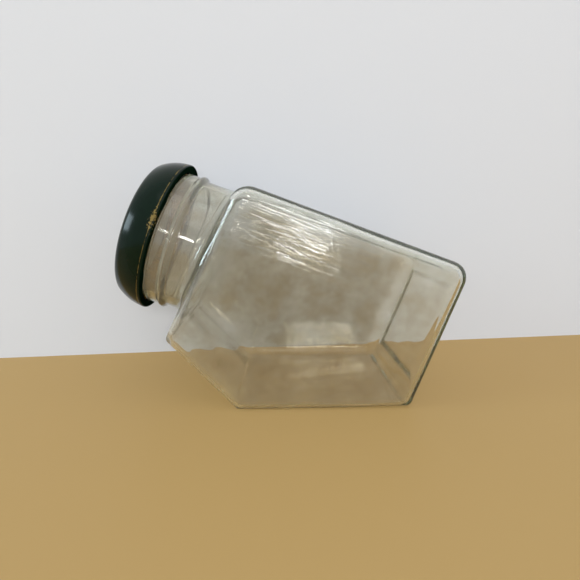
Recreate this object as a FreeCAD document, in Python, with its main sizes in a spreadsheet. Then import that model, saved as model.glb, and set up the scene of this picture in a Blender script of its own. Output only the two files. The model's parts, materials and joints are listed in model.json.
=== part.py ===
"""Glass canister with a tin lug lid, lying on its slanted foot facet as it is used for display.

Every piece is drawn upright in the canister's own frame: base on Z = 0, mouth axis along +Z, the tall
flat back towards +X, the facets towards -X and the two flat panes facing -Y and +Y.
One shared placement then lays the canister down, so that its foot facet rests on Z = 0 with the origin at
the facet's centre.  Lengths are in millimetres.
"""
import FreeCAD, Part
import math
import os
import Sketcher
from FreeCAD import Rotation, Vector

SIZES = [
    # the body, in side outline
    ("body_width", 102, "across the two flat panes, and from back to front along the shoulder"),
    ("base_length", 93, "flat base, from back to foot"),
    ("body_length", 130.4, "from the back to the corner between foot facet and front facet"),
    ("foot_rise", 102.3, "height of that corner above the base"),
    ("back_rise", 145.7, "height of the shoulder's back corner above the base"),
    ("shoulder_climb", 11.4, "how much higher the shoulder's front corner is"),
    ("round_back", 12, "corner between back and shoulder"),
    ("round_base", 10.5, "corner between back and base"),
    ("round_foot", 5, "corner between base and foot facet"),
    ("round_front", 3.5, "both corners of the front facet"),
    ("round_pane", 2.8, "edges round both panes"),
    # glass thickness
    ("wall", 3.6, "glass of the body"),
    ("base_wall", 5.4, "glass of the base"),
    ("inner_round", 6, "corners inside the body"),
    ("inner_pane_round", 2.5, "edges inside both panes"),
    ("push_up_inset", 12, "from the outside of the base to its recess"),
    ("push_up_depth", 1.2, "recess in the base"),
    ("push_up_round", 9, "corners of that recess"),
    # the neck
    ("neck_inset", 7, "from a pane to the neck"),
    ("back_inset", 5.8, "from the back to the neck"),
    ("neck_length", 51.4, "from the shoulder's back corner up to the lip"),
    ("neck_wall", 4.4, "glass of the neck"),
    ("neck_blend", 2.5, "fillet between neck and shoulder"),
    ("bore_blend", 2.5, "rounding where the bore leaves the body"),
    ("finish_step", 1, "how much the glass narrows above the transfer bead"),
    ("bead_depth", 1.8, "how far the transfer bead stands out of the neck"),
    ("bead_width", 5, "height of the transfer bead"),
    ("bead_slope", 1.6, "how far the transfer bead's flanks taper"),
    ("bead_round", 1.2, "both outer edges of the transfer bead"),
    ("bead_drop", 26.4, "from the lip down to the middle of the transfer bead"),
    ("lip_round", 1.2, "both edges of the lip"),
    # the lug closure
    ("lug_count", 6, "lugs on the lid, and thread starts on the glass"),
    ("thread_arc", 34, "degrees that one thread start covers"),
    ("thread_depth", 1.7, "how far a thread start stands out of the glass"),
    ("thread_width", 2.4, "height of a thread start"),
    ("thread_root", 0.5, "how deep a thread start is rooted in the glass"),
    ("thread_slope", 0.6, "how far a thread start's flanks taper"),
    ("lug_arc", 14, "degrees that one lug covers"),
    ("lug_height", 2.4, "height of a lug"),
    ("lug_gap", 0.6, "from the glass to the tip of a lug"),
    ("lug_clearance", 0.4, "between a lug and the thread start above it"),
    # the lid
    ("rim_clearance", 0.6, "from a thread start to the rolled rim around it"),
    ("rim_width", 5.2, "across the rolled rim"),
    ("rim_round", 1.3, "outer edge of the rolled rim"),
    ("hem_height", 3.4, "how far the rolled rim turns back up inside"),
    ("lid_height", 19.4, "rim to top"),
    ("crown_reach", 10.5, "how far in the side of the lid leans, from rim to flat top"),
    ("crown_round", 6.5, "the tighter bend at the top of the side"),
    ("tin", 0.7, "tinplate with its enamel"),
    ("panel_margin", 5.6, "from the edge of the flat top to its sunken middle"),
    ("panel_round", 0.6, "edge of that middle"),
    ("panel_sink", 1, "depth of the sunken middle"),
    # the liner
    ("liner_thickness", 1.6, "sealing disc"),
    ("liner_margin", 0.6, "from the edge of the lip to the edge of the sealing disc"),
    ("liner_clearance", 0.2, "above and below the sealing disc"),
]

# Radii about the mouth axis, each from the piece that it fits.
NECK = "(sizes.body_width / 2 - sizes.neck_inset)"
BORE = f"({NECK} - sizes.neck_wall)"
BEAD = f"({NECK} + sizes.bead_depth)"
FINISH = f"({NECK} - sizes.finish_step)"
THREAD = f"({FINISH} + sizes.thread_depth)"
LINER = f"({FINISH} - sizes.liner_margin)"
LUG = f"({FINISH} + sizes.lug_gap)"
RIM_OPENING = f"({THREAD} + sizes.rim_clearance)"
HEM = f"({RIM_OPENING} + sizes.tin)"
LID = f"({RIM_OPENING} + sizes.rim_width)"
CROWN = f"({LID} - sizes.crown_reach)"
PANEL = f"({CROWN} - sizes.panel_margin)"

# Heights above the base, as the pieces stack up on the glass lip.
SHOULDER_FRONT = "(sizes.back_rise + sizes.shoulder_climb)"
LIP = "(sizes.back_rise + sizes.neck_length)"
BEAD_MIDDLE = f"({LIP} - sizes.bead_drop)"
LINER_FLOOR = f"({LIP} + sizes.liner_clearance)"
LINER_TOP = f"({LINER_FLOOR} + sizes.liner_thickness)"
PANEL_INSIDE = f"({LINER_TOP} + sizes.liner_clearance)"
CROWN_INSIDE = f"({PANEL_INSIDE} + sizes.panel_sink)"
LID_TOP = f"({CROWN_INSIDE} + sizes.tin)"
RIM = f"({LID_TOP} - sizes.lid_height)"
LUG_FLOOR = f"({RIM} + sizes.tin)"
LUG_TOP = f"({LUG_FLOOR} + sizes.lug_height)"
THREAD_FLOOR = f"({LUG_TOP} + sizes.lug_clearance)"

# A height inside the hollow body, where the neck and its bore may start.
INSIDE_BODY = "(sizes.back_rise - sizes.round_back - 2 * sizes.wall)"

# Side outline of the body, anticlockwise from the back corner of the base.
BACK_X = f"({NECK} + sizes.back_inset)"
BODY_OUTLINE = [
    (BACK_X, "0"),
    (BACK_X, "sizes.back_rise"),
    (f"{BACK_X} - sizes.body_width", SHOULDER_FRONT),
    (f"{BACK_X} - sizes.body_length", "sizes.foot_rise"),
    (f"{BACK_X} - sizes.base_length", "0"),
]
# What the outline's corners, and then its sides, take their rounding and their glass from.
CORNER_ROUNDS = ["round_base", "round_back", "round_front", "round_front", "round_foot"]
WALLS = ["wall", "wall", "wall", "wall", "base_wall"]

# Two places nearer than this are the same place.
NEAR = 1e-3
# How many points along an edge are tested, its ends included.
EDGE_SAMPLES = 5
# Where the cavity's corners start before the sketch is solved, as a share of the way to its centre.
FIRST_GUESS = 0.1


def make_sheet(doc):
    """The driving dimensions, one per row: alias, value, what it measures."""
    sheet = doc.addObject("Spreadsheet::Sheet", "sizes")
    for row, (alias, value, note) in enumerate(SIZES, start=1):
        sheet.set(f"A{row}", alias)
        sheet.set(f"B{row}", str(value))
        sheet.set(f"C{row}", note)
        sheet.setAlias(f"B{row}", alias)
    doc.recompute()


def number(obj, expression):
    """The value of an expression on the sheet, as a plain number."""
    value = obj.evalExpression(expression)
    return float(getattr(value, "Value", value))


def origin_feature(body, role):
    """One of the body's own origin planes or axes."""
    return next(f for f in body.Origin.OriginFeatures if f.Role == role)


def add_sketch(body, name, turn=None, plane="XZ_Plane"):
    """An empty sketch on a plane of the body, by default with X across and Z up.

    turn is an angle that swings the sketch about the mouth axis.
    """
    sketch = body.newObject("Sketcher::SketchObject", name)
    sketch.AttachmentSupport = [(origin_feature(body, plane), "")]
    sketch.MapMode = "FlatFace"
    if turn:
        sketch.AttachmentOffset = FreeCAD.Placement(Vector(), Rotation(Vector(0, 1, 0), 1))
        sketch.setExpression("AttachmentOffset.Rotation.Angle", turn)
    return sketch


def bind(sketch, constraint, expression):
    """Add a dimension to a sketch and tie it to an expression."""
    index = sketch.addConstraint(constraint)
    sketch.setExpression(f"Constraints[{index}]", expression)


def pin(sketch, edge, end, x, y):
    """Hold one end of a sketch edge at the expressions x and y."""
    for kind, axis, expression in (("DistanceX", -2, x), ("DistanceY", -1, y)):
        value = number(sketch, expression)
        if abs(value) < NEAR:
            sketch.addConstraint(Sketcher.Constraint("PointOnObject", edge, end, axis))
        else:
            bind(sketch, Sketcher.Constraint(kind, -1, 1, edge, end, value), expression)


def draw_outline(sketch, points, construction=False):
    """A closed outline of straight edges through points given as pairs of expressions."""
    places = [Vector(number(sketch, x), number(sketch, y), 0) for x, y in points]
    edges = []
    for start, finish in zip(places, places[1:] + places[:1]):
        edges.append(sketch.addGeometry(Part.LineSegment(start, finish), construction))
    for edge, following in zip(edges, edges[1:] + edges[:1]):
        sketch.addConstraint(Sketcher.Constraint("Coincident", edge, 2, following, 1))
    for edge, (x, y) in zip(edges, points):
        pin(sketch, edge, 1, x, y)
    return edges


def add_feature(body, kind, name, sketch=None, expressions=None, **settings):
    """A PartDesign feature with its settings, recomputed so that the next one can read its shape."""
    feature = body.newObject(f"PartDesign::{kind}", name)
    if sketch:
        feature.Profile = sketch
        sketch.Visibility = False
    for key, value in settings.items():
        setattr(feature, key, value)
    for key, expression in (expressions or {}).items():
        feature.setExpression(key, expression)
    body.Document.recompute()
    return feature


def fillet(body, name, base, edges, radius):
    """Round the named edges of a feature to a radius on the sheet."""
    if not edges:
        raise RuntimeError(f"{name} finds no edge")
    return add_feature(body, "Fillet", name, Base=(base, edges), expressions={"Radius": radius})


def edges_where(feature, test):
    """Names of the edges of a feature that pass a test."""
    return [f"Edge{i}" for i, edge in enumerate(feature.Shape.Edges, start=1) if test(edge)]


def samples(edge):
    """Points spread along an edge, or none for one that is shrunk to a point."""
    if edge.Degenerated:
        return []
    first, last = edge.ParameterRange
    step = (last - first) / (EDGE_SAMPLES - 1)
    return [edge.valueAt(first + step * index) for index in range(EDGE_SAMPLES)]


def fits(edge, rule):
    """True if every sampled point of an edge keeps to a rule."""
    points = samples(edge)
    return bool(points) and all(rule(point) for point in points)


def runs_across(edge, x, z):
    """True for a straight edge parallel to Y through (x, z)."""
    return fits(edge, lambda p: math.hypot(p.x - x, p.z - z) < NEAR)


def spans_width(edge, half_width):
    """True for a straight edge parallel to Y that ends at half_width on both sides."""
    ends = sorted(vertex.Y for vertex in edge.Vertexes)
    return len(ends) == 2 and abs(ends[0] + half_width) < NEAR and abs(ends[1] - half_width) < NEAR


def stands_on_base(edge, height):
    """True for an upright edge that rises from Z = 0 to a height."""
    box = edge.BoundBox
    return box.XLength + box.YLength < NEAR and abs(box.ZMin) < NEAR and abs(box.ZMax - height) < NEAR


def lies_in_pane(edge, half_width):
    """True for an edge that lies in the plane of either pane."""
    return fits(edge, lambda p: abs(abs(p.y) - half_width) < NEAR)


def lies_on_cylinder(edge, radius, low=-math.inf, high=math.inf):
    """True for an edge on a cylinder about Z whose points lie between two heights."""
    return fits(edge, lambda p: abs(math.hypot(p.x, p.y) - radius) < NEAR and low < p.z < high)


def circles_at(edge, radius, height):
    """True for an edge on a circle about Z at one height."""
    return lies_on_cylinder(edge, radius, height - NEAR, height + NEAR)


def spin(body, name, kind, points, angle="360", turn=None, **settings):
    """Revolve (or groove) a straight-edged outline about the mouth axis."""
    sketch = add_sketch(body, f"{name}_outline", turn)
    draw_outline(sketch, points)
    return add_feature(
        body, kind, name, sketch, {"Angle": angle}, ReferenceAxis=(sketch, ["V_Axis"]), **settings
    )


def repeat(body, name, feature):
    """Copies of a feature, evenly spaced about the mouth axis, one per lug."""
    pattern = add_feature(
        body, "PolarPattern", name, expressions={"Occurrences": "sizes.lug_count"},
        Originals=[feature], Axis=(origin_feature(body, "Z_Axis"), [""]), Angle=360,
    )
    body.Tip = pattern
    body.Document.recompute()


def cavity_outline(sketch):
    """The inside of the body: the side outline moved inwards by the wall on every side."""
    outer = draw_outline(sketch, BODY_OUTLINE, construction=True)
    places = [sketch.getPoint(edge, 1) for edge in outer]
    centre = sum(places, Vector()) * (1 / len(places))
    shrunk = [place + (centre - place) * FIRST_GUESS for place in places]
    inner = []
    for start, finish in zip(shrunk, shrunk[1:] + shrunk[:1]):
        inner.append(sketch.addGeometry(Part.LineSegment(start, finish)))
    for edge, following in zip(inner, inner[1:] + inner[:1]):
        sketch.addConstraint(Sketcher.Constraint("Coincident", edge, 2, following, 1))
    for edge, parent, wall in zip(inner, outer, WALLS):
        sketch.addConstraint(Sketcher.Constraint("Parallel", edge, parent))
        thickness = f"sizes.{wall}"
        bind(sketch, Sketcher.Constraint("Distance", edge, 1, parent, number(sketch, thickness)), thickness)


def make_body_block(body):
    """The outside of the square body, with its corners and pane edges rounded."""
    outline = add_sketch(body, "body_outline")
    draw_outline(outline, BODY_OUTLINE)
    solid = add_feature(
        body, "Pad", "body_block", outline, {"Length": "sizes.body_width"}, SideType="Symmetric"
    )
    for index, ((x, z), radius) in enumerate(zip(BODY_OUTLINE, CORNER_ROUNDS)):
        corner_x, corner_z = number(outline, x), number(outline, z)
        edges = edges_where(solid, lambda edge: runs_across(edge, corner_x, corner_z))
        solid = fillet(body, f"corner_{index}", solid, edges, f"sizes.{radius}")
    half_width = number(outline, "sizes.body_width / 2")
    edges = edges_where(solid, lambda edge: lies_in_pane(edge, half_width))
    fillet(body, "pane_edges", solid, edges, "sizes.round_pane")


def make_neck(body):
    """The solid neck with its blend into the shoulder and the transfer bead."""
    neck = spin(body, "neck", "Revolution", [
        ("0", INSIDE_BODY),
        (NECK, INSIDE_BODY),
        (NECK, BEAD_MIDDLE),
        (FINISH, BEAD_MIDDLE),
        (FINISH, LIP),
        ("0", LIP),
    ])
    radius, shoulder_top = number(neck, NECK), number(neck, SHOULDER_FRONT)
    edges = edges_where(neck, lambda edge: lies_on_cylinder(edge, radius, high=shoulder_top))
    fillet(body, "neck_root", neck, edges, "sizes.neck_blend")

    bead_floor = f"({BEAD_MIDDLE} - sizes.bead_width / 2)"
    bead_top = f"({BEAD_MIDDLE} + sizes.bead_width / 2)"
    bead = spin(body, "bead", "Revolution", [
        (BORE, bead_floor),
        (NECK, bead_floor),
        (BEAD, f"{bead_floor} + sizes.bead_slope"),
        (BEAD, f"{bead_top} - sizes.bead_slope"),
        (FINISH, bead_top),
        (BORE, bead_top),
    ])
    radius = number(bead, BEAD)
    edges = edges_where(bead, lambda edge: lies_on_cylinder(edge, radius) and edge.Closed)
    fillet(body, "bead_edges", bead, edges, "sizes.bead_round")


def make_hollow(body):
    """The hollow body and the bore of the neck, with their edges softened."""
    outline = add_sketch(body, "cavity_outline")
    cavity_outline(outline)
    inner_width = "(sizes.body_width - 2 * sizes.wall)"
    hollow = add_feature(body, "Pocket", "cavity", outline, {"Length": inner_width}, SideType="Symmetric")
    half_width = number(hollow, f"{inner_width} / 2")
    edges = edges_where(hollow, lambda edge: spans_width(edge, half_width))
    hollow = fillet(body, "cavity_corners", hollow, edges, "sizes.inner_round")
    edges = edges_where(hollow, lambda edge: lies_in_pane(edge, half_width))
    fillet(body, "cavity_pane_edges", hollow, edges, "sizes.inner_pane_round")

    bore = spin(body, "bore", "Groove", [
        ("0", INSIDE_BODY),
        (BORE, INSIDE_BODY),
        (BORE, LIP),
        ("0", LIP),
    ])
    radius, shoulder_top = number(bore, BORE), number(bore, SHOULDER_FRONT)
    edges = edges_where(bore, lambda edge: lies_on_cylinder(edge, radius, high=shoulder_top))
    bore = fillet(body, "bore_root", bore, edges, "sizes.bore_blend")
    lip = number(bore, LIP)
    edges = edges_where(bore, lambda edge: fits(edge, lambda p: abs(p.z - lip) < NEAR))
    fillet(body, "lip_edges", bore, edges, "sizes.lip_round")


def make_push_up(body):
    """The shallow recess that keeps the middle of the base off the table."""
    inset = "sizes.push_up_inset"
    left = f"({BACK_X} - sizes.base_length + {inset})"
    right = f"({BACK_X} - {inset})"
    side = f"(sizes.body_width / 2 - {inset})"
    outline = add_sketch(body, "push_up_outline", plane="XY_Plane")
    draw_outline(outline, [(left, f"-{side}"), (right, f"-{side}"), (right, side), (left, side)])
    recess = add_feature(
        body, "Pocket", "push_up", outline, {"Length": "sizes.push_up_depth"}, Reversed=True
    )
    depth = number(recess, "sizes.push_up_depth")
    walls = edges_where(recess, lambda edge: stands_on_base(edge, depth))
    fillet(body, "push_up_corners", recess, walls, "sizes.push_up_round")


def make_jar(doc):
    """The moulded glass: body, neck with its bead and thread starts, and the hollow inside."""
    body = doc.addObject("PartDesign::Body", "glass_jar")
    body.Label = "glass_jar"
    make_body_block(body)
    make_neck(body)
    make_hollow(body)
    make_push_up(body)
    start = spin(body, "thread_start", "Revolution", [
        (f"{FINISH} - sizes.thread_root", THREAD_FLOOR),
        (THREAD, f"{THREAD_FLOOR} + sizes.thread_slope"),
        (THREAD, f"{THREAD_FLOOR} + sizes.thread_width - sizes.thread_slope"),
        (f"{FINISH} - sizes.thread_root", f"{THREAD_FLOOR} + sizes.thread_width"),
    ], angle="sizes.thread_arc", turn="180 deg / sizes.lug_count", Midplane=True)
    repeat(body, "thread_starts", start)
    return body


def draw_crown(sketch, skin):
    """Half the outline of the lid's dome, moved inwards by skin: flat top, two bends, open foot.

    The upper bend is tangent to the top and the lower one, and the lower bend meets the rim upright.
    """
    top = f"({LID_TOP} - {skin})"
    rim_radius = f"({LID} - {skin})"
    bend = f"(sizes.crown_round - {skin})"
    crown, top_z = number(sketch, CROWN), number(sketch, top)
    rim_x, rim_z, small = number(sketch, rim_radius), number(sketch, RIM), number(sketch, bend)
    across, rise = rim_x - crown, top_z - rim_z
    large = (across**2 + rise**2 - 2 * rise * small) / (2 * (across - small))
    small_centre = Vector(crown, top_z - small, 0)
    large_centre = Vector(rim_x - large, rim_z, 0)
    lean = math.atan2(small_centre.y - large_centre.y, small_centre.x - large_centre.x)
    normal = Vector(0, 0, 1)
    lower = sketch.addGeometry(
        Part.ArcOfCircle(Part.Circle(large_centre, normal, large), 0, lean)
    )
    upper = sketch.addGeometry(
        Part.ArcOfCircle(Part.Circle(small_centre, normal, small), lean, math.pi / 2)
    )
    axis_top, axis_rim = Vector(0, top_z, 0), Vector(0, rim_z, 0)
    flat = sketch.addGeometry(Part.LineSegment(Vector(crown, top_z, 0), axis_top))
    core = sketch.addGeometry(Part.LineSegment(axis_top, axis_rim))
    foot = sketch.addGeometry(Part.LineSegment(axis_rim, Vector(rim_x, rim_z, 0)))
    for edge, end, following in ((flat, 2, core), (core, 2, foot)):
        sketch.addConstraint(Sketcher.Constraint("Coincident", edge, end, following, 1))
    sketch.addConstraint(Sketcher.Constraint("Tangent", upper, 2, flat, 1))
    sketch.addConstraint(Sketcher.Constraint("Tangent", lower, 2, upper, 1))
    sketch.addConstraint(Sketcher.Constraint("Perpendicular", foot, 2, lower, 1))
    bind(sketch, Sketcher.Constraint("Radius", upper, small), bend)
    pin(sketch, flat, 1, CROWN, top)
    pin(sketch, core, 1, "0", top)
    pin(sketch, foot, 1, "0", RIM)
    pin(sketch, foot, 2, rim_radius, RIM)


def make_lid(doc):
    """The stamped tin lid: a hollow dome with a sunken panel, a rolled rim and lugs in the rim."""
    body = doc.addObject("PartDesign::Body", "lid_shell")
    body.Label = "lid_shell"

    outside = add_sketch(body, "dome_outline")
    draw_crown(outside, "0")
    add_feature(body, "Revolution", "dome", outside, {"Angle": "360"}, ReferenceAxis=(outside, ["V_Axis"]))
    inside = add_sketch(body, "inside_outline")
    draw_crown(inside, "sizes.tin")
    add_feature(body, "Groove", "inside", inside, {"Angle": "360"}, ReferenceAxis=(inside, ["V_Axis"]))

    spin(body, "panel_floor", "Revolution", [
        ("0", PANEL_INSIDE),
        (f"{PANEL} + sizes.tin", PANEL_INSIDE),
        (f"{PANEL} + sizes.tin", CROWN_INSIDE),
        ("0", CROWN_INSIDE),
    ])
    panel = spin(body, "panel", "Groove", [
        ("0", f"{LID_TOP} - sizes.panel_sink"),
        (PANEL, f"{LID_TOP} - sizes.panel_sink"),
        (PANEL, LID_TOP),
        ("0", LID_TOP),
    ])
    top, panel_radius = number(panel, LID_TOP), number(panel, PANEL)
    edges = edges_where(panel, lambda edge: circles_at(edge, panel_radius, top))
    fillet(body, "panel_edge", panel, edges, "sizes.panel_round")

    rolled = spin(body, "rolled_rim", "Revolution", [
        (RIM_OPENING, RIM),
        (LID, RIM),
        (f"{LID} - sizes.tin", f"{RIM} + sizes.tin"),
        (HEM, f"{RIM} + sizes.tin"),
        (HEM, f"{RIM} + sizes.hem_height"),
        (RIM_OPENING, f"{RIM} + sizes.hem_height"),
    ])
    rim, lid_radius = number(rolled, RIM), number(rolled, LID)
    edges = edges_where(rolled, lambda edge: circles_at(edge, lid_radius, rim))
    fillet(body, "rim_edge", rolled, edges, "sizes.rim_round")
    lug = spin(body, "lug", "Revolution", [
        (LUG, LUG_FLOOR),
        (HEM, LUG_FLOOR),
        (HEM, LUG_TOP),
        (LUG, LUG_TOP),
    ], angle="sizes.lug_arc", Midplane=True)
    repeat(body, "lugs", lug)
    return body


def make_liner(doc):
    """The loose sealing disc that lies on the glass lip."""
    body = doc.addObject("PartDesign::Body", "lid_liner")
    body.Label = "lid_liner"
    spin(body, "disc", "Revolution", [
        ("0", LINER_FLOOR),
        (LINER, LINER_FLOOR),
        (LINER, LINER_TOP),
        ("0", LINER_TOP),
    ])
    return body


def make_placement(doc, pieces):
    """Lay every piece down on the foot facet, whose centre becomes the origin."""
    run = "(sizes.body_length - sizes.base_length)"
    lean = f"(90 deg - atan({run} / sizes.foot_rise))"
    foot_x = f"({BACK_X} - (sizes.body_length + sizes.base_length) / 2)"
    foot_z = "(sizes.foot_rise / 2)"
    for piece in pieces:
        piece.Placement = FreeCAD.Placement(Vector(), Rotation(Vector(0, 1, 0), -1))
        piece.setExpression("Placement.Rotation.Angle", f"-{lean}")
        piece.setExpression("Placement.Base.x", f"{foot_z} * sin{lean} - {foot_x} * cos{lean}")
        piece.setExpression("Placement.Base.z", f"-{foot_z} * cos{lean} - {foot_x} * sin{lean}")
    doc.recompute()


def main():
    doc = FreeCAD.newDocument("canister")
    make_sheet(doc)
    pieces = [make_jar(doc), make_liner(doc), make_lid(doc)]
    make_placement(doc, pieces)
    for obj in doc.Objects:
        if "Invalid" in obj.State or "Error" in obj.State:
            raise RuntimeError(f"{obj.Name} failed to recompute")
    os.makedirs("parts", exist_ok=True)
    for piece in pieces:
        if piece.Shape.isNull() or not piece.Shape.isValid() or len(piece.Shape.Solids) != 1:
            raise RuntimeError(f"{piece.Label} is not one valid solid")
        piece.Shape.exportStep(f"parts/{piece.Label}.step")
        print(piece.Label, piece.Shape.Volume, piece.Shape.BoundBox)


main()
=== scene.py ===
import json
import math

import bmesh
import bpy
import numpy as np
from mathutils import Euler, Matrix, Vector


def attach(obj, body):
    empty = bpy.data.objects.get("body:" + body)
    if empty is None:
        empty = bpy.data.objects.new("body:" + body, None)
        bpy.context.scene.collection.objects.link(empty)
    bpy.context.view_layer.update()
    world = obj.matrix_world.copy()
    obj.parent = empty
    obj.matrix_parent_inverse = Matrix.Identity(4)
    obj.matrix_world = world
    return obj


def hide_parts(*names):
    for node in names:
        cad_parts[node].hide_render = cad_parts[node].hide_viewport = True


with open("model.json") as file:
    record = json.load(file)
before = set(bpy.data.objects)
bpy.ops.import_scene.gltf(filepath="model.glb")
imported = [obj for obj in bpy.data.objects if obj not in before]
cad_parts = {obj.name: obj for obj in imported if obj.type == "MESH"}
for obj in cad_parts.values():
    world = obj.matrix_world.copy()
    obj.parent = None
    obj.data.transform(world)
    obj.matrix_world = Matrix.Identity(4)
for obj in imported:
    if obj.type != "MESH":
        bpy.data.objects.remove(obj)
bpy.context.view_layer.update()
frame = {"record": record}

# ---------------------------------------------------------------------------------------------------------
# Sizes, in millimetres, of the canister stood upright: base on z = 0, mouth axis on z, the tall back
# towards +x and the two flat panes facing -y and +y.  LAY_DOWN then puts each finished piece in its place.
# ---------------------------------------------------------------------------------------------------------
MM = 0.001

BODY_WIDTH = 102          # across the panes
HALF_WIDTH = BODY_WIDTH / 2
BACK_X = 49.8             # the flat back
BACK_RISE = 145.7         # height of the shoulder's back corner
SHOULDER_CLIMB = 11.4     # how much higher its front corner is
FOOT_RISE = 102.3         # height of the corner between foot facet and front facet
BASE_LENGTH = 93
BODY_LENGTH = 130.4
CORNER_ROUNDS = (10.5, 12, 3.5, 3.5, 5)  # base/back, back/shoulder, shoulder/front, front/foot, foot/base
PANE_ROUND = 4.6          # round the edges of the pane that faces -y
THICK_PANE_ROUND = 6.2    # along the back and the base, where the glass is thicker
THICK_BACK = (-5, 45)     # the x from which they get rounder towards the back, and over how far
THICK_BASE = (40, -35)    # the height from which they get rounder towards the base, and over how far
REAR_PANE_ROUND = 8       # round the edges of the pane that faces +y
SKIN = 0.05               # how far the glass stays within its mould
WALL = 1.8                # glass of the panes
BACK_WALL = 3.0
BASE_WALL = 3.0
WALLS = (BACK_WALL, 1.6, 1.5, 1.6, BASE_WALL)  # back, shoulder, front facet, foot facet, base
INNER_ROUNDS = (8, 10, 4, 4, 4.5)        # inside the corners, in the order of CORNER_ROUNDS
REAR_INNER_ROUND = 7
UNEVEN = 0.18             # how far the inside wanders, because no mould touched it
UNEVEN_LENGTH = 30
UNEVEN_SEED = 3
PUSH_UP_INSET = 12        # from the edge of the base to the slope round the panel pushed up in it
PUSH_UP_SLOPE = 6
PUSH_UP_DEPTH = 1.2

NECK = 44                 # radius below the transfer bead
COLLAR = 45.0             # between the bead and the lid
FINISH = 43.4             # within the lid
BORE = 39.6
LIP = 197.1               # height of the glass lip
LIP_ROUND = 1.2
NECK_BLEND = 8            # fillets where the neck and the bore run into the body
BORE_BLEND = 5
NECK_ROOT = BACK_RISE - 2  # how far down the neck and the bore reach into the body
BORE_ROOT = BACK_RISE / 2
BEAD_MIDDLE = 171.0
BEAD_WIDTH = 5.6
BEAD_DEPTH = 1.7
THREADS = 6               # thread starts, each held by a lug of the lid
THREAD_MIDDLE = 186.1
THREAD_WIDTH = 3.2
THREAD_DEPTH = 1.2
THREAD_ARC = math.radians(36)
THREAD_END = THREAD_ARC / 5              # how far a start fades in at each end

RIM = 181.4               # height of the lid's rim
LID = 50.4                # radius of the lid
LID_HEIGHT = 19.4
OPENING = 45.2            # radius of the opening within its rim
CROWN = 40                # radius at which its top turns over into its side
CROWN_ROUND = 6.5
PANEL = 34.4              # radius of the sunken middle of its top
PANEL_SINK = 1
PANEL_FOOT = PANEL - 0.9  # where the step down to it starts and ends, and how round it is there
PANEL_BROW = PANEL + 0.3
FOOT_ROUND = 0.5
BROW_ROUND = 0.6
TIN = 0.5
CURL = 1.1                # the rolled edge of the rim
CREASE = 1.9              # how far above the rim the roll ends
HEM = 3.4                 # how far the rim turns back up inside
LUG_ARC = math.radians(15)
LUG_END = LUG_ARC / 3     # how far it fades in at each end
LUG_REACH = 1.5           # how far a lug is pressed inwards
LINER = 42.4
LINER_FLOOR = 197.3
LINER_THICK = 1.6
LINER_ROUND = 0.4         # round its edge
LINER_DENT = 0.15         # how deep the glass lip has pressed into it

BASE_FRONT = BACK_X - BASE_LENGTH        # x of each corner of the front, from the base up
FOOT_FRONT = BACK_X - BODY_LENGTH
SHOULDER_FRONT = BACK_X - BODY_WIDTH
FRONT_RISE = BACK_RISE + SHOULDER_CLIMB  # height of the shoulder's front corner

# The outside of the body as seen from the side, anticlockwise from the back corner of the base.
OUTLINE = [
    (BACK_X, 0),
    (BACK_X, BACK_RISE),
    (SHOULDER_FRONT, FRONT_RISE),
    (FOOT_FRONT, FOOT_RISE),
    (BASE_FRONT, 0),
]


def lay_down_matrix():
    """From the upright canister in millimetres to its place in the frame in metres, by the base's mount."""
    base = next(mount for mount in frame["record"]["mounts"] if mount["name"] == "base")
    mouth = -Vector(base["axis"]).normalized()
    back = Vector((mouth.z, 0, -mouth.x))
    turn = Matrix((back, mouth.cross(back), mouth)).transposed().to_4x4()
    middle = Matrix.Translation((BASE_LENGTH / 2 - BACK_X, 0, 0))
    return Matrix.Translation(base["pos_m"]) @ turn @ Matrix.Scale(MM, 4) @ middle


LAY_DOWN = lay_down_matrix()
MOUTH = (LAY_DOWN.to_3x3() @ Vector((0, 0, 1))).normalized()
LEAN = math.atan2(-MOUTH.x, MOUTH.z)     # how far the mouth axis leans over from upright


# ---------------------------------------------------------------------------------------------------------
# The mould: how far a point is outside the glass, negative within it.
# ---------------------------------------------------------------------------------------------------------
def sides_of(points, walls):
    """Unit normal and offset of each side of an anticlockwise outline, moved inwards by its wall."""
    sides = []
    for (x0, z0), (x1, z1), wall in zip(points, points[1:] + points[:1], walls):
        length = math.hypot(x1 - x0, z1 - z0)
        nx, nz = (z1 - z0) / length, (x0 - x1) / length
        sides.append((nx, nz, nx * x0 + nz * z0 - wall))
    return sides


def from_outline(x, z, sides, rounds):
    """Distance from a convex outline whose corners are rounded, each to its own radius."""
    far = np.max([nx * x + nz * z - offset for nx, nz, offset in sides], axis=0)
    for last, side, radius in zip(sides[-1:] + sides[:-1], sides, rounds):
        normals = np.array([last[:2], side[:2]])
        centre = np.linalg.solve(normals, [last[2] - radius, side[2] - radius])
        away = np.array([x - centre[0], z - centre[1]])
        shares = np.linalg.solve(normals.T, away)
        in_corner = (shares > 0).all(axis=0)
        far = np.where(in_corner, np.hypot(*away) - radius, far)
    return far


def both(a, b, radius):
    """Inside two shapes at once, with the edge where they meet rounded off."""
    u, v = np.maximum(a + radius, 0), np.maximum(b + radius, 0)
    return np.hypot(u, v) + np.minimum(np.maximum(a, b) + radius, 0) - radius


def either(a, b, radius):
    """Inside one shape or the other, with a fillet where they meet."""
    u, v = np.maximum(radius - a, 0), np.maximum(radius - b, 0)
    return np.maximum(np.minimum(a, b), radius) - np.hypot(u, v)


def ease(t):
    """A smooth step from 0 to 1."""
    t = np.clip(t, 0, 1)
    return t * t * (3 - 2 * t)


def ramp(value, start, reach):
    """A smooth rise from 0 at start to 1 where reach ends; a negative reach ends below start."""
    return ease((value - start) / reach)


def hump(distance, width):
    """A smooth ridge, 1 in the middle and 0 from half its width outwards."""
    return np.clip(1 - (2 * distance / width) ** 2, 0, 1) ** 1.5


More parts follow.
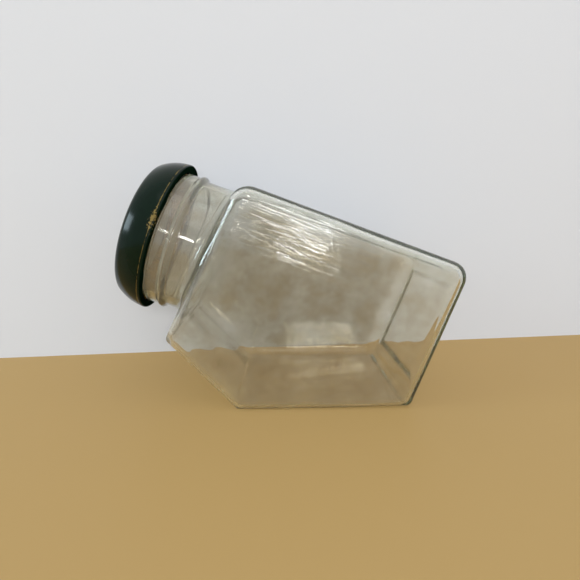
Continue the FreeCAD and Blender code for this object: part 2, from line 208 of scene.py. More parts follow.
def neck_radius(z, around):
    """Radius of the neck's outside, with the transfer bead and the thread starts."""
    radius = NECK + (COLLAR - NECK) * ease((z - BEAD_MIDDLE) / BEAD_WIDTH + 0.5)
    radius = radius + (FINISH - COLLAR) * ease(z - RIM + 0.5)
    radius = radius + BEAD_DEPTH * hump(z - BEAD_MIDDLE, BEAD_WIDTH)
    pitch = 2 * math.pi / THREADS
    off = np.abs((around % pitch) - pitch / 2)
    start = ramp(off, THREAD_ARC / 2, -THREAD_END)
    return radius + THREAD_DEPTH * start * hump(z - THREAD_MIDDLE, THREAD_WIDTH)


def waves(p, wavelength, seed):
    """Slow unevenness between about -1 and 1, the sum of a few plane waves."""
    rng = np.random.default_rng(seed)
    total = 0
    for _ in range(5):
        direction = rng.normal(size=3)
        direction /= np.linalg.norm(direction)
        length = wavelength * rng.uniform(0.7, 1.5)
        total = total + np.sin(p @ direction * 2 * math.pi / length + rng.uniform(0, 2 * math.pi))
    return total / 3


OUTER_SIDES = sides_of(OUTLINE, [SKIN] * len(OUTLINE))
INNER_SIDES = sides_of(OUTLINE, WALLS)


def from_glass(p):
    """Distance of points, one per row, from the surface of the jar's glass."""
    x, y, z = p.T
    out = np.hypot(x, y)
    around = np.arctan2(y, x)
    body = from_outline(x, z, OUTER_SIDES, CORNER_ROUNDS)
    inset = np.minimum.reduce([BACK_X - x, x - BASE_FRONT, HALF_WIDTH - np.abs(y)])
    recess = PUSH_UP_DEPTH * ramp(inset, PUSH_UP_INSET, PUSH_UP_SLOPE)
    body = np.where(z < WALL, np.maximum(body, recess + SKIN - z), body)
    neck = np.maximum(out - neck_radius(z, around), NECK_ROOT - z)
    outside = np.maximum(either(body, neck, NECK_BLEND), x - BACK_X + SKIN)
    thick = np.maximum(ramp(x, *THICK_BACK), ramp(z, *THICK_BASE))
    edge = np.where(y < 0, PANE_ROUND + (THICK_PANE_ROUND - PANE_ROUND) * thick, REAR_PANE_ROUND)
    outside = both(outside, np.abs(y) - HALF_WIDTH + SKIN, edge)
    outside = both(outside, z - LIP, LIP_ROUND)

    edge = np.where(y < 0, edge - WALL, REAR_INNER_ROUND)
    cavity = both(from_outline(x, z, INNER_SIDES, INNER_ROUNDS), np.abs(y) - HALF_WIDTH + WALL, edge)
    bore = np.maximum(out - BORE, BORE_ROOT - z)
    hollow = either(cavity, bore, BORE_BLEND) + UNEVEN * waves(p, UNEVEN_LENGTH, UNEVEN_SEED)
    return both(outside, -hollow, LIP_ROUND)


NUDGE = 0.01              # how far each way the slope of the distance is measured
LEAST_SLOPE = 0.05        # the least that a step is divided by, for where the distance is flat
FARTHEST = 2              # the most that a point counts as off the surface in one step


def settle(p, steps):
    """Move points straight onto the surface of the glass."""
    for _ in range(steps):
        here = np.clip(from_glass(p), -FARTHEST, FARTHEST)
        slope = np.empty_like(p)
        for axis in range(3):
            nudge = np.zeros(3)
            nudge[axis] = NUDGE
            slope[:, axis] = (from_glass(p + nudge) - from_glass(p - nudge)) / (2 * NUDGE)
        size = np.maximum((slope ** 2).sum(axis=1), LEAST_SLOPE)
        p = p - (here / size)[:, None] * slope
    return p


# ---------------------------------------------------------------------------------------------------------
# The jar: a spun parison, whose rings are carried to rings round the mould, settled and relaxed on it.
# ---------------------------------------------------------------------------------------------------------
AROUND = 224              # steps round the mouth axis
AT_CORNER = 10            # of them, round each upright edge of the body
GATHERED = 0.4            # how much the others gather towards the edges, from 0 to 1
FIRST_STEPS = 3           # of settling, before the glass is relaxed
RELAX_ROUNDS = 10
RELAX = 0.4               # how far each point goes towards the middle of its neighbours in a round

BODY_FILM = 0.25          # dust inside the body, as a share of that inside the neck
OUTER_FILM = 0.12         # dust outside the body, as such a share, and how much more there is up the neck
OUTER_NECK_FILM = 0.6
INNER_STREAKS = 0.5       # streaks inside, as a share of those outside
EDGE_STAIN_AND_SHADE = 0.3          # brown stain and painted shade near the body's edges, as a share of that in its middle
NECK_STAIN_AND_SHADE = 0.6          # how far up that range the neck is


def steps_around():
    """Where each step round a rounded box has its arc's centre, from -1 to 1, and which way it faces."""
    along = AROUND // 4 - AT_CORNER
    places = []
    for side in range(4):
        quarter = side * math.pi / 2
        c, s = round(math.cos(quarter)), round(math.sin(quarter))
        for step in range(along):
            t = (step + 0.5) / along * 2 - 1
            t = (1 - GATHERED) * t + GATHERED * math.sin(t * math.pi / 2)
            places.append((c - s * t, s + c * t, quarter))
        for step in range(AT_CORNER):
            places.append((c - s, s + c, quarter + (step + 0.5) / AT_CORNER * math.pi / 2))
    return np.array(places).T


CENTRE_X, CENTRE_Y, FACING = steps_around()


def box_ring(left, right, half, corner, z_left, z_right=None):
    """A ring round a rounded box; it may slope from one height on the left to another on the right."""
    z_right = z_left if z_right is None else z_right
    middle, reach = (left + right) / 2, (right - left) / 2
    x = middle + CENTRE_X * (reach - corner) + corner * np.cos(FACING)
    y = CENTRE_Y * (half - corner) + corner * np.sin(FACING)
    share = (x - left) / max(right - left, 1)
    return np.array([x, y, z_left + share * (z_right - z_left)]).T


def round_ring(radius, height, slope=0):
    """A ring about the mouth axis; a sloping one rises towards the front with the shoulder."""
    x, y, _ = box_ring(-HALF_WIDTH, HALF_WIDTH, HALF_WIDTH, PANE_ROUND, 0).T
    angle = np.arctan2(y, x)
    x, y = radius * np.cos(angle), radius * np.sin(angle)
    return np.array([x, y, height + slope * SHOULDER_CLIMB * (BACK_X - x) / BODY_WIDTH]).T


SLANTED = 1.08            # how much thicker a slanted facet's wall is when measured level, about


def front_at(z, wall=0):
    """x of the foot facet or front facet at a height, moved inwards by the wall."""
    x = np.interp(z, [0, FOOT_RISE, FRONT_RISE], [BASE_FRONT, FOOT_FRONT, SHOULDER_FRONT])
    return x + wall * SLANTED


def back_at(wall=0):
    """x of the back, moved inwards by its own wall for a ring inside the glass."""
    return BACK_X - (BACK_WALL if wall else 0)


def wall_ring(z_left, z_right, wall=0, corner=PANE_ROUND):
    """A ring round the body's four walls, outside the glass, or inside it where it is given a wall."""
    return box_ring(front_at(z_left, wall), back_at(wall), HALF_WIDTH - wall, corner, z_left, z_right)


def base_ring(inset, z, wall=0, corner=PANE_ROUND):
    """A level ring on the base, so far in from its edge."""
    half = HALF_WIDTH - wall - inset
    return box_ring(BASE_FRONT + wall + inset, back_at(wall) - inset, half, corner, z)


def jar_rings():
    """Rings from the middle of the base up the outside, over the lip and down the inside, each with the
    number of steps to the next.

    They need only lie near the glass, in an order that doesn't fold, because settle moves them onto it.
    """
    middle = (BACK_X + BASE_FRONT) / 2
    ceiling, front_ceiling = BACK_RISE - WALL, FRONT_RISE - WALL
    bead_foot, bead_top = BEAD_MIDDLE - BEAD_WIDTH / 2, BEAD_MIDDLE + BEAD_WIDTH / 2
    inner_half = HALF_WIDTH - WALL
    return [
        # the base
        (box_ring(middle, middle, 0, 0, PUSH_UP_DEPTH), 8),
        (base_ring(PUSH_UP_INSET + PUSH_UP_SLOPE, PUSH_UP_DEPTH, corner=9), 5),
        (base_ring(PUSH_UP_INSET, 0, corner=9), 4),
        (base_ring(5, 0), 6),
        (base_ring(1.2, 1.2), 6),
        # up the body and over the shoulder
        (wall_ring(6, 6), 32),
        (wall_ring(FOOT_RISE - 2.2, 92), 4),
        (wall_ring(FOOT_RISE + 2.2, 95.5), 18),
        (wall_ring(FRONT_RISE - 4, BACK_RISE - 10), 7),
        (box_ring(SHOULDER_FRONT + 1, BACK_X - 1.2, HALF_WIDTH - 0.9, PANE_ROUND,
                  FRONT_RISE - 0.5, BACK_RISE - 4), 7),
        (box_ring(SHOULDER_FRONT + 4.5, BACK_X - 3.6, HALF_WIDTH - 3.5, 4,
                  FRONT_RISE + 0.5, BACK_RISE + 0.5), 4),
        # up the neck, with the bead and the thread starts
        (round_ring(NECK + 1.5, BACK_RISE + 2, 1), 5),
        (round_ring(NECK, BACK_RISE + NECK_BLEND, 1), 6),
        (round_ring(NECK, bead_foot - 0.5), 18),
        (round_ring(COLLAR, bead_top + 0.5), 4),
        (round_ring(COLLAR, RIM - 0.6), 7),
        (round_ring(FINISH, RIM + 0.6), 3),
        (round_ring(FINISH, THREAD_MIDDLE - THREAD_WIDTH / 2), 10),
        (round_ring(FINISH, THREAD_MIDDLE + THREAD_WIDTH / 2), 4),
        # over the lip
        (round_ring(FINISH, LIP - LIP_ROUND), 4),
        (round_ring(FINISH - LIP_ROUND, LIP), 2),
        (round_ring(BORE + LIP_ROUND, LIP), 4),
        # down the inside
        (round_ring(BORE, LIP - LIP_ROUND), 16),
        (round_ring(BORE, ceiling + BORE_BLEND, 1), 6),
        (round_ring(BORE + 2, ceiling + 1, 1), 6),
        (box_ring(SHOULDER_FRONT + 9, BACK_X - WALL - 2.5, inner_half - 2.5, 9,
                  front_ceiling - 2, ceiling - 4), 8),
        (wall_ring(front_ceiling - 6, ceiling - 11, WALL, 9), 16),
        (wall_ring(FOOT_RISE + 3, 96, WALL, 9), 5),
        (wall_ring(FOOT_RISE - 3, 91, WALL, 9), 28),
        (wall_ring(BASE_WALL + 7, BASE_WALL + 7, WALL, 6), 6),
        (base_ring(2.2, BASE_WALL + 2.2, WALL, 6), 6),
        (base_ring(8, BASE_WALL, WALL, 6), 10),
        (box_ring(middle, middle, 0, 0, BASE_WALL), 0),
    ]


def spun(profile, steps, around):
    """A mesh spun about z from a profile of (radius, height) points; station counts along the profile.

    steps says into how many each stretch of the profile is divided.
    """
    bm = bmesh.new()
    station = bm.verts.layers.float.new("station")
    points = []
    for index, (radius, height) in enumerate(profile):
        point = bm.verts.new((radius, 0, height))
        point[station] = index
        points.append(point)
    stretches = [bm.edges.new(pair) for pair in zip(points, points[1:])]
    for stretch, count in zip(stretches, steps):
        if count > 1:
            bmesh.ops.subdivide_edges(bm, edges=[stretch], cuts=count - 1)
    bmesh.ops.spin(
        bm, geom=bm.verts[:] + bm.edges[:], cent=(0, 0, 0), axis=(0, 0, 1), angle=2 * math.pi, steps=around,
        use_merge=True,
    )
    bmesh.ops.remove_doubles(bm, verts=bm.verts, dist=1e-4)
    return bm, station


def finish_piece(bm, name, body, node, materials):
    """Turn an upright bmesh into a piece that rides its body and stands for its CAD node."""
    bmesh.ops.recalc_face_normals(bm, faces=bm.faces)
    for face in bm.faces:
        face.smooth = True
    bm.transform(LAY_DOWN)
    mesh = bpy.data.meshes.new(name)
    bm.to_mesh(mesh)
    bm.free()
    for material in materials:
        mesh.materials.append(material)
    piece = bpy.data.objects.new(name, mesh)
    bpy.context.scene.collection.objects.link(piece)
    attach(piece, body)
    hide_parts(node)


def jar_marks(spots, inside):
    """How dusty and streaked the glass is at points of the jar, and how strong its stain and painted shade
    are, each from 0 to 1.
    """
    x, _, z = spots.T
    # dust thickens from just below the shoulder up the neck
    up_neck = ramp(z - BACK_RISE, -4, 20)
    outer = OUTER_FILM + OUTER_NECK_FILM * up_neck
    film = np.where(inside, BODY_FILM + (1 - BODY_FILM) * up_neck, outer)
    # streaks run up the panes beside the back, and fade towards the base and the shoulder
    beside_back = ramp(x, 12, 14) * ramp(x, BACK_X, -6)
    streaked = beside_back * ramp(z, 40, 50) * ramp(z, BACK_RISE, -12) * np.where(inside, INNER_STREAKS, 1)
    # stain, partly painted shade, grows from the body's edges towards its middle: the glass is browner and
    # darker there, where the jar's shadow on the wall behind shows through
    middle = ramp(from_outline(x, z, OUTER_SIDES, CORNER_ROUNDS), -2, -14)
    stain_and_shade = EDGE_STAIN_AND_SHADE + (1 - EDGE_STAIN_AND_SHADE) * np.maximum(middle, NECK_STAIN_AND_SHADE * up_neck)
    return {"film": film, "streaked": streaked, "stain_and_shade": stain_and_shade}


def make_jar():
    """The jar, with the dust, streaks, and stain and painted shade of its glass as layers of its points."""
    rings = jar_rings()
    places = np.array([ring for ring, _ in rings])
    centres = places.mean(axis=1)
    radii = np.hypot(*(places - centres[:, None]).transpose(2, 0, 1)[:2]).mean(axis=1)
    bm, station = spun(list(zip(radii, centres[:, 2])), [count for _, count in rings], AROUND)
    spots = np.array([vert.co for vert in bm.verts])
    along = np.array([vert[station] for vert in bm.verts])
    step = np.round(np.arctan2(spots[:, 1], spots[:, 0]) / (2 * math.pi) * AROUND).astype(int) % AROUND
    ring = np.clip(np.floor(along).astype(int), 0, len(rings) - 2)
    share = (along - ring)[:, None]
    spots = places[ring, step] * (1 - share) + places[ring + 1, step] * share
    spots = settle(spots, FIRST_STEPS)
    for _ in range(RELAX_ROUNDS):
        for vert, spot in zip(bm.verts, spots):
            vert.co = spot
        bmesh.ops.smooth_vert(
            bm, verts=bm.verts, factor=RELAX, use_axis_x=True, use_axis_y=True, use_axis_z=True,
        )
        spots = settle(np.array([vert.co for vert in bm.verts]), 1)
    spots = settle(spots, 1)
    lip = next(index for index, place in enumerate(places) if place[:, 2].max() == LIP)
    marks = jar_marks(spots, ring >= lip)
    layers = [(bm.verts.layers.float.new(name), values) for name, values in marks.items()]
    for index, (vert, spot) in enumerate(zip(bm.verts, spots)):
        vert.co = spot
        for layer, values in layers:
            vert[layer] = float(values[index])
    finish_piece(bm, "jar", "jar", "glass_jar", [clear_glass()])


# ---------------------------------------------------------------------------------------------------------
# The lid and its liner
# ---------------------------------------------------------------------------------------------------------
LID_AROUND = 336          # steps round the mouth axis
LINER_AROUND = 160
RUB_WIDTH = 0.7           # how far from the crease above the roll the enamel is rubbed
CHIP_WIDTH = 3.2          # how far from it the chips reach on the worn side
WORN_SIDE = -74           # where round the rim that side is, in degrees about the mouth axis
WORN_SPREAD = 12          # how far it goes each way, in degrees
LUG_CHIPS = 0.75          # how chipped the enamel is on a pressed lug
ROLL_SHADE_TOP = RIM + 0.7     # painted shade: the enamel loses its reflection under the roll, from here down
ROLL_SHADE_FADE = 0.6


def arc(x, z, radius, start, end, count):
    """Points along an arc, from one angle in degrees to another."""
    angles = np.radians(np.linspace(start, end, count))
    return [(x + radius * math.cos(a), z + radius * math.sin(a)) for a in angles]


def dome(skin):
    """The lid's side from the flat top to above the rolled edge, moved inwards by skin."""
    top, rim, small = RIM + LID_HEIGHT - skin, LID - skin, CROWN_ROUND - skin
    across, rise = rim - CROWN, top - RIM
    large = (across ** 2 + rise ** 2 - 2 * rise * small) / (2 * (across - small))
    lean = math.degrees(math.atan2(rise - small, CROWN - rim + large))
    low = math.degrees(math.asin(CREASE / large))
    return arc(CROWN, top - small, small, 90, lean, 9) + arc(rim - large, RIM, large, lean, low, 22)[1:]


def lid_profile():
    """Half a section through the lid, from the middle of its top round the rim to the middle inside, and
    the number of the point where the outside ends, at the tip of the hem."""
    top = RIM + LID_HEIGHT
    floor = top - PANEL_SINK
    outside = [(0, floor), (PANEL - 8, floor)]
    outside += arc(PANEL_FOOT, floor + FOOT_ROUND, FOOT_ROUND, -90, -35, 4)
    outside += arc(PANEL_BROW, top - BROW_ROUND, BROW_ROUND, 145, 90, 5)
    outside += dome(0)
    outside += arc(LID - CURL, RIM + CURL, CURL, 30, -90, 12)
    outside += arc(OPENING + CURL, RIM + CURL, CURL, -90, -180, 8)
    outside += arc(OPENING + TIN / 2, RIM + HEM - TIN / 2, TIN / 2, 180, 90, 3)
    bend = CURL - TIN
    inside = arc(OPENING + TIN / 2, RIM + HEM - TIN / 2, TIN / 2, 90, 0, 3)[1:]
    inside += arc(OPENING + CURL, RIM + CURL, bend, -180, -90, 5)
    inside += arc(LID - CURL, RIM + CURL, bend, -90, 0, 5)
    inside += dome(TIN)[::-1]
    inside += [(PANEL_BROW, top - TIN), (PANEL_FOOT, floor - TIN), (0, floor - TIN)]
    return outside + inside, len(outside) - 1


def make_lid():
    """The lid, its lugs pressed in; its points' layers say where the enamel is rubbed, chipped or in painted
    shade.
    """
    profile, tip = lid_profile()
    bm, station = spun(profile, [1] * len(profile), LID_AROUND)
    wear = bm.verts.layers.float.new("wear")
    chips = bm.verts.layers.float.new("chips")
    roll_shade = bm.verts.layers.float.new("roll_shade")
    pitch = 2 * math.pi / THREADS
    hem_reach = OPENING + CURL + 1
    for vert in bm.verts:
        x, y, z = vert.co
        out, around = math.hypot(x, y), math.atan2(y, x)
        # painted shade under the roll
        vert[roll_shade] = float(ramp(z, ROLL_SHADE_TOP, -ROLL_SHADE_FADE))
        if out > CROWN:
            from_crease = abs(z - RIM - CREASE)
            from_worn = abs(math.degrees(around) - WORN_SIDE)
            vert[wear] = max(0, 1 - from_crease / RUB_WIDTH)
            vert[chips] = max(0, 1 - from_worn / WORN_SPREAD) * max(0, 1 - from_crease / CHIP_WIDTH)
        if out < hem_reach and z < RIM + HEM + 0.1:
            from_lug = abs((around + pitch / 2) % pitch - pitch / 2)
            press = LUG_REACH * float(ramp(from_lug, LUG_ARC / 2, -LUG_END))
            press *= float(ramp(out, hem_reach, -2))
            vert.co.x -= press * x / max(out, 1)
            vert.co.y -= press * y / max(out, 1)
            vert[chips] += LUG_CHIPS * press / LUG_REACH * float(ramp(z - RIM, 0.6, 1.5))
    for face in bm.faces:
        face.material_index = int(min(vert[station] for vert in face.verts) >= tip)
    finish_piece(bm, "lid", "lid", "lid_shell", [enamelled_tin(), gold_lacquer()])


def make_liner():
    """The sealing disc, dented by the glass lip all round."""
    top = LINER_FLOOR + LINER_THICK
    edge, dent = LINER - LINER_ROUND, LINER_FLOOR + LINER_DENT
    profile = [(0, LINER_FLOOR), (BORE - 1.2, LINER_FLOOR), (BORE - 0.2, dent)]
    profile += [(LINER - 1, dent), (LINER - 0.7, LINER_FLOOR + 0.1)]
    profile += arc(edge, LINER_FLOOR + 0.1 + LINER_ROUND, LINER_ROUND, -90, 0, 4)
    profile += arc(edge, top - LINER_ROUND, LINER_ROUND, 0, 90, 4)
    profile += [(0, top)]
    bm, _ = spun(profile, [12] + [1] * (len(profile) - 2) + [12], LINER_AROUND)
    finish_piece(bm, "liner", "liner", "lid_liner", [liner_foam()])


# ---------------------------------------------------------------------------------------------------------
# Finishes
# ---------------------------------------------------------------------------------------------------------
def linear(code):
    """An sRGB hex colour as the linear values that shaders take."""
    parts = [int(code[i:i + 2], 16) / 255 for i in (1, 3, 5)]
    return [c / 12.92 if c <= 0.04045 else ((c + 0.055) / 1.055) ** 2.4 for c in parts] + [1]


def add_node(tree, kind, settings=None, inputs=None):
    """A shader node with its settings, and its inputs, by name or number, set or linked."""
    node = tree.nodes.new(kind)
    for key, value in (settings or {}).items():
        setattr(node, key, value)
    for key, value in (inputs or {}).items():
        if isinstance(value, bpy.types.NodeSocket):
            tree.links.new(value, node.inputs[key])
        else:
            node.inputs[key].default_value = value
    return node


def new_material(name):
    """A material with nothing but its output node."""
    material = bpy.data.materials.new(name)
    material.use_nodes = True
    tree = material.node_tree
    tree.nodes.clear()
    return material, tree, tree.nodes.new("ShaderNodeOutputMaterial")


DUSTIEST = 0.76           # how much of the light goes straight through where the dust is thickest
STAIN_AND_SHADE = 0.46              # how strong the brown stain and painted shade can get
GLASS_DEPTH = 22.0        # absorption per metre
STREAK_LENGTH = 18        # how much longer than wide a streak is


def clear_glass():
    """Soda-lime container glass, blown in an iron mould and stored empty.

    Green-grey through its depth, slightly wavy where the mould chilled it, streaked beside its back edges,
    and veiled by a thin uneven film of dust, thickest up the neck, with a faint brown stain in its blotches.
    The stain is partly painted shade: the colour grows browner and darker towards the body's middle and up
    the neck.
    """
    material, tree, out = new_material("moulded soda-lime glass")
    place = add_node(tree, "ShaderNodeTexCoord").outputs["Object"]
    blotches = add_node(tree, "ShaderNodeTexNoise", None, {
        "Vector": place, "Scale": 1 / (22 * MM), "Detail": 5.0, "Roughness": 0.6}).outputs[0]
    blotch = add_node(tree, "ShaderNodeMapRange", None, {
        "Value": blotches, "From Min": 0.3, "From Max": 0.68}).outputs[0]
    # a quarter of the dust lies evenly, and the rest in the blotches
    uneven = add_node(tree, "ShaderNodeMath", {"operation": "MULTIPLY_ADD"}, {
        0: blotch, 1: 0.75, 2: 0.25}).outputs[0]
    film = add_node(tree, "ShaderNodeAttribute", {"attribute_name": "film"}).outputs["Fac"]
    dust = add_node(tree, "ShaderNodeMath", {"operation": "MULTIPLY"}, {0: film, 1: uneven}).outputs[0]
    stain_and_shade = add_node(tree, "ShaderNodeAttribute", {"attribute_name": "stain_and_shade"}).outputs["Fac"]
    # painted shade with the stain: the colour goes browner and darker towards the body's middle and up the
    # neck
    shade = add_node(tree, "ShaderNodeMath", {"operation": "ADD"}, {0: dust, 1: blotch}).outputs[0]
    shade = add_node(tree, "ShaderNodeMath", {"operation": "MULTIPLY"}, {0: shade, 1: stain_and_shade}).outputs[0]
    shade = add_node(tree, "ShaderNodeMath", {"operation": "MULTIPLY"}, {0: shade, 1: STAIN_AND_SHADE}).outputs[0]
    colour = add_node(tree, "ShaderNodeMix", {"data_type": "RGBA"}, {
        0: shade, 6: linear("#FFFFFC"), 7: linear("#C9B68A")}).outputs[2]
    clear = add_node(tree, "ShaderNodeMapRange", None, {"Value": dust, "To Min": 1.0, "To Max": DUSTIEST})
    rough = add_node(tree, "ShaderNodeMapRange", None, {"Value": dust, "To Min": 0.0, "To Max": 0.1})
    chill = add_node(tree, "ShaderNodeTexNoise", None, {
        "Vector": place, "Scale": 1 / (7 * MM), "Detail": 1.0, "Roughness": 0.5}).outputs[0]
    waved = add_node(tree, "ShaderNodeBump", None, {"Height": chill, "Strength": 0.3, "Distance": 0.12 * MM})
    lengthwise = add_node(tree, "ShaderNodeMapping", {"vector_type": "TEXTURE"}, {
        "Vector": place, "Rotation": (0, -LEAN, 0), "Scale": (1, 1, STREAK_LENGTH)}).outputs[0]
    streaks = add_node(tree, "ShaderNodeTexNoise", None, {
        "Vector": lengthwise, "Scale": 1 / (3.2 * MM), "Detail": 2.0}).outputs[0]
    streaked = add_node(tree, "ShaderNodeAttribute", {"attribute_name": "streaked"}).outputs["Fac"]
    drawn = add_node(tree, "ShaderNodeMath", {"operation": "MULTIPLY"}, {0: streaks, 1: streaked})
    ripple = add_node(tree, "ShaderNodeBump", None, {
        "Height": drawn.outputs[0], "Strength": 1.0, "Distance": 0.9 * MM, "Normal": waved.outputs[0]})
    glass = add_node(tree, "ShaderNodeBsdfPrincipled", None, {
        "Base Color": colour,
        "Roughness": rough.outputs[0],
        "IOR": 1.52,
        "Transmission Weight": clear.outputs[0],
        "Normal": ripple.outputs[0],
    })
    tree.links.new(glass.outputs[0], out.inputs["Surface"])
    depth = add_node(tree, "ShaderNodeVolumeAbsorption", None, {
        "Color": linear("#BCD6A8"), "Density": GLASS_DEPTH})
    tree.links.new(depth.outputs[0], out.inputs["Volume"])
    return material


def enamelled_tin():
    """Stoving enamel over gold size on tinplate: near-black green gloss, rubbed and flaked to gold along the
    rim's crease, with painted shade under its roll, where its reflection is turned off."""
    material, tree, out = new_material("dark green stoving enamel")
    place = add_node(tree, "ShaderNodeTexCoord").outputs["Object"]
    grain = add_node(tree, "ShaderNodeTexNoise", None, {
        "Vector": place, "Scale": 1 / (1.3 * MM), "Detail": 5.0, "Roughness": 0.65}).outputs[0]
    patches = add_node(tree, "ShaderNodeTexNoise", None, {
        "Vector": place, "Scale": 1 / (6 * MM), "Detail": 6.0, "Roughness": 0.7}).outputs[0]
    wear = add_node(tree, "ShaderNodeAttribute", {"attribute_name": "wear"}).outputs["Fac"]
    chips = add_node(tree, "ShaderNodeAttribute", {"attribute_name": "chips"}).outputs["Fac"]
    rub = add_node(tree, "ShaderNodeMapRange", None, {
        "Value": patches, "From Min": 0.38, "From Max": 0.66, "To Min": -1.0, "To Max": -0.35})
    flake = add_node(tree, "ShaderNodeMapRange", None, {
        "Value": grain, "From Min": 0.35, "From Max": 0.65, "To Min": -1.0, "To Max": -0.05})
    rubbed = add_node(tree, "ShaderNodeMath", {"operation": "ADD"}, {0: wear, 1: rub.outputs[0]})
    flaked = add_node(tree, "ShaderNodeMath", {"operation": "ADD"}, {0: chips, 1: flake.outputs[0]})
    worn = add_node(tree, "ShaderNodeMath", {"operation": "MAXIMUM"}, {
        0: rubbed.outputs[0], 1: flaked.outputs[0]})
    bare = add_node(tree, "ShaderNodeMapRange", None, {
        "Value": worn.outputs[0], "From Max": 0.14}).outputs[0]
    gold = add_node(tree, "ShaderNodeMix", {"data_type": "RGBA"}, {
        0: grain, 6: linear("#3A2C14"), 7: linear("#9C8850")}).outputs[2]
    paint = add_node(tree, "ShaderNodeMix", {"data_type": "RGBA"}, {
        0: patches, 6: linear("#06140B"), 7: linear("#0B1E13")}).outputs[2]
    colour = add_node(tree, "ShaderNodeMix", {"data_type": "RGBA"}, {0: bare, 6: paint, 7: gold}).outputs[2]
    metal = add_node(tree, "ShaderNodeMath", {"operation": "MULTIPLY"}, {0: bare, 1: 0.7})
    rough = add_node(tree, "ShaderNodeMapRange", None, {"Value": bare, "To Min": 0.16, "To Max": 0.5})
    peel = add_node(tree, "ShaderNodeTexNoise", None, {
        "Vector": place, "Scale": 1 / (2.4 * MM), "Detail": 2.0}).outputs[0]
    relief = add_node(tree, "ShaderNodeMath", {"operation": "SUBTRACT"}, {0: peel, 1: bare})
    skin = add_node(tree, "ShaderNodeBump", None, {
        "Height": relief.outputs[0], "Strength": 0.3, "Distance": 0.06 * MM})
    # painted shade: under the roll the enamel's specular reflection is turned down to nothing
    roll_shade = add_node(tree, "ShaderNodeAttribute", {"attribute_name": "roll_shade"}).outputs["Fac"]
    gloss = add_node(tree, "ShaderNodeMapRange", None, {"Value": roll_shade, "To Min": 0.13, "To Max": 0.0})
    shader = add_node(tree, "ShaderNodeBsdfPrincipled", None, {
        "Base Color": colour,
        "Roughness": rough.outputs[0],
        "Specular IOR Level": gloss.outputs[0],
        "Metallic": metal.outputs[0],
        "Normal": skin.outputs[0],
    })
    tree.links.new(shader.outputs[0], out.inputs["Surface"])
    return material


def gold_lacquer():
    """Epoxy-phenolic lacquer on bright tinplate: warm gold metal, its fine rolling marks softened by it."""
    material, tree, out = new_material("gold lacquered tinplate")
    place = add_node(tree, "ShaderNodeTexCoord").outputs["Object"]
    cloud = add_node(tree, "ShaderNodeTexNoise", None, {
        "Vector": place, "Scale": 1 / (6 * MM), "Detail": 4.0}).outputs[0]
    rolling = add_node(tree, "ShaderNodeTexNoise", None, {
        "Vector": place, "Scale": 1 / (0.8 * MM), "Detail": 2.0}).outputs[0]
    colour = add_node(tree, "ShaderNodeMix", {"data_type": "RGBA"}, {
        0: cloud, 6: linear("#B98F45"), 7: linear("#D9B56C")}).outputs[2]
    rough = add_node(tree, "ShaderNodeMapRange", None, {
        "Value": cloud, "From Min": 0.3, "From Max": 0.7, "To Min": 0.22, "To Max": 0.36})
    lines = add_node(tree, "ShaderNodeBump", None, {
        "Height": rolling, "Strength": 0.15, "Distance": 0.03 * MM})
    shader = add_node(tree, "ShaderNodeBsdfPrincipled", None, {
        "Base Color": colour,
        "Metallic": 1.0,
        "Roughness": rough.outputs[0],
        "Normal": lines.outputs[0],
    })
    tree.links.new(shader.outputs[0], out.inputs["Surface"])
    return material


def liner_foam():
    """Foamed polyethylene sheet: chalky off-white, with fine closed cells just under a matt skin."""
    material, tree, out = new_material("foamed polyethylene")
    place = add_node(tree, "ShaderNodeTexCoord").outputs["Object"]
    cells = add_node(tree, "ShaderNodeTexNoise", None, {
        "Vector": place, "Scale": 1 / (0.7 * MM), "Detail": 2.0}).outputs[0]
    cloud = add_node(tree, "ShaderNodeTexNoise", None, {
        "Vector": place, "Scale": 1 / (14 * MM), "Detail": 3.0}).outputs[0]
    colour = add_node(tree, "ShaderNodeMix", {"data_type": "RGBA"}, {
        0: cloud, 6: linear("#D3CCBB"), 7: linear("#E6E1D4")}).outputs[2]
    skin = add_node(tree, "ShaderNodeBump", None, {"Height": cells, "Strength": 0.4, "Distance": 0.08 * MM})
    rough = add_node(tree, "ShaderNodeMapRange", None, {"Value": cloud, "To Min": 0.55, "To Max": 0.7})
    shader = add_node(tree, "ShaderNodeBsdfPrincipled", None, {
        "Base Color": colour,
        "Roughness": rough.outputs[0],
        "Normal": skin.outputs[0],
    })
    tree.links.new(shader.outputs[0], out.inputs["Surface"])
    return material


make_jar()
make_lid()
make_liner()


# ---------------------------------------------------------------------------------------------------------
# Stage, camera and lights
# ---------------------------------------------------------------------------------------------------------
CARD = 3                  # metres across the floor and the wall
FLOOR_Z = -0.00005        # just under the canister
WALL_Y = 0.069            # just behind it
WALL_TURN = math.radians(5)

VIEW_LENS = 24.08         # millimetres, on a sensor of VIEW_SENSOR
VIEW_SENSOR = 36
VIEW_PLACE = (-0.02629, -0.2705, 0.11905)
VIEW_DOWN = math.radians(11.143)
VIEW_RIGHT = math.radians(1.312)
VIEW_ROLL = math.radians(-0.175)

# Each lamp's name, size, place, the point that it is aimed at, power in watts and colour.
LAMPS = [
    ("window", (0.5, 0.4), (-1.45, -0.3, 0.65), (0, 0, 0.1), 9, "#D0E4EE"),
    ("ceiling", (1.8, 1.4), (0.5, -0.7, 1.5), (0, 0, 0.05), 7, "#FFFFFF"),
    ("front left", (0.14, 0.1), (-0.26, -1.45, 0.56), (-0.05, 0, 0.08), 1.2, "#FFFFFF"),
    ("front right", (0.4, 0.24), (0.2, -1.45, 0.5), (-0.05, 0, 0.08), 4, "#FFFFFF"),
    ("front low", (0.24, 0.06), (0.11, -1.45, 0.075), (0, 0, 0.1), 1.5, "#FFFFFF"),
]


def card(name, place, turn, material):
    """A large flat card of the stage."""
    bpy.ops.mesh.primitive_plane_add(size=1)
    obj = bpy.context.object
    obj.name = name
    obj.data.transform(Matrix.Diagonal((CARD, CARD, 1, 1)))
    obj.location = place
    obj.rotation_euler = turn
    obj.data.materials.append(material)


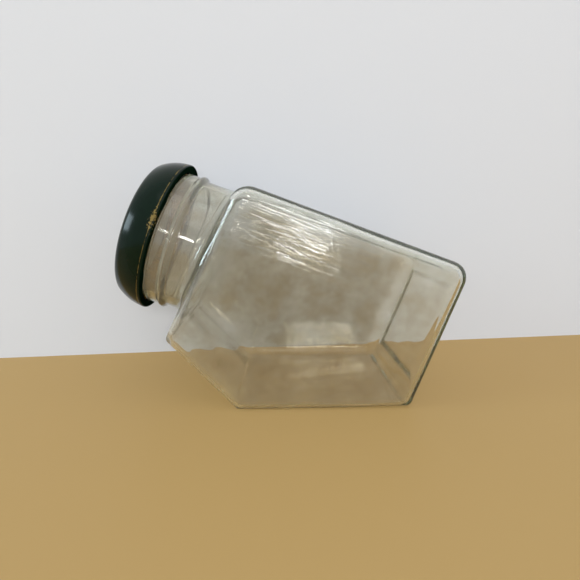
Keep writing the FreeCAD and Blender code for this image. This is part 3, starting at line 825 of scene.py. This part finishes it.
def backdrop(name, code, own, roughness):
    """A plain matt surface of one colour; own is the share of it that needs no light. Its back is clear."""
    material, tree, out = new_material(name)
    colour = linear(code)
    lit = add_node(tree, "ShaderNodeBsdfPrincipled", None, {"Base Color": colour, "Roughness": roughness})
    glow = add_node(tree, "ShaderNodeEmission", None, {"Color": colour, "Strength": 1.0})
    path = add_node(tree, "ShaderNodeLightPath")
    seen = add_node(tree, "ShaderNodeMath", {"operation": "MAXIMUM"}, {
        0: path.outputs["Is Camera Ray"], 1: path.outputs["Is Transmission Ray"]})
    seen = add_node(tree, "ShaderNodeMath", {"operation": "MAXIMUM"}, {
        0: seen.outputs[0], 1: path.outputs["Is Glossy Ray"]})
    share = add_node(tree, "ShaderNodeMath", {"operation": "MULTIPLY"}, {0: seen.outputs[0], 1: own})
    front = add_node(tree, "ShaderNodeMixShader", None, {
        0: share.outputs[0], 1: lit.outputs[0], 2: glow.outputs[0]})
    clear = add_node(tree, "ShaderNodeBsdfTransparent")
    side = add_node(tree, "ShaderNodeNewGeometry").outputs["Backfacing"]
    mixed = add_node(tree, "ShaderNodeMixShader", None, {0: side, 1: front.outputs[0], 2: clear.outputs[0]})
    tree.links.new(mixed.outputs[0], out.inputs["Surface"])
    return material


def lamp(name, size, place, aim, power, colour):
    """A rectangular lamp."""
    data = bpy.data.lights.new(name, "AREA")
    data.shape = "RECTANGLE"
    data.size, data.size_y = size
    data.energy = power
    data.color = linear(colour)[:3]
    obj = bpy.data.objects.new(name, data)
    bpy.context.scene.collection.objects.link(obj)
    obj.location = place
    obj.rotation_euler = (Vector(aim) - Vector(place)).to_track_quat("-Z", "Y").to_euler()


card("floor", (0, 0, FLOOR_Z), (0, 0, 0), backdrop("pale floor", "#B5965F", 0.45, 0.5))
card("wall", (0, WALL_Y, 0), (math.radians(90), 0, WALL_TURN), backdrop("pale wall", "#D8DBDF", 0.12, 0.9))

camera_data = bpy.data.cameras.new("camera")
camera_data.lens = VIEW_LENS
camera_data.sensor_width = VIEW_SENSOR
camera = bpy.data.objects.new("camera", camera_data)
bpy.context.scene.collection.objects.link(camera)
camera.location = VIEW_PLACE
camera.rotation_euler = Euler((math.radians(90) - VIEW_DOWN, 0, -VIEW_RIGHT))
camera.rotation_euler.rotate_axis("Z", VIEW_ROLL)
bpy.context.scene.camera = camera

for settings in LAMPS:
    lamp(*settings)

world = bpy.data.worlds.new("world")
bpy.context.scene.world = world
world.use_nodes = True
background = world.node_tree.nodes["Background"]
background.inputs[0].default_value = linear("#D3D6DC")
background.inputs[1].default_value = 1.12

# Light may pass in and out of thick glass many times before it gets through.
cycles = bpy.context.scene.cycles
cycles.max_bounces = 24
cycles.glossy_bounces = 16
cycles.transmission_bounces = 20
bpy.context.scene.view_settings.view_transform = "Standard"
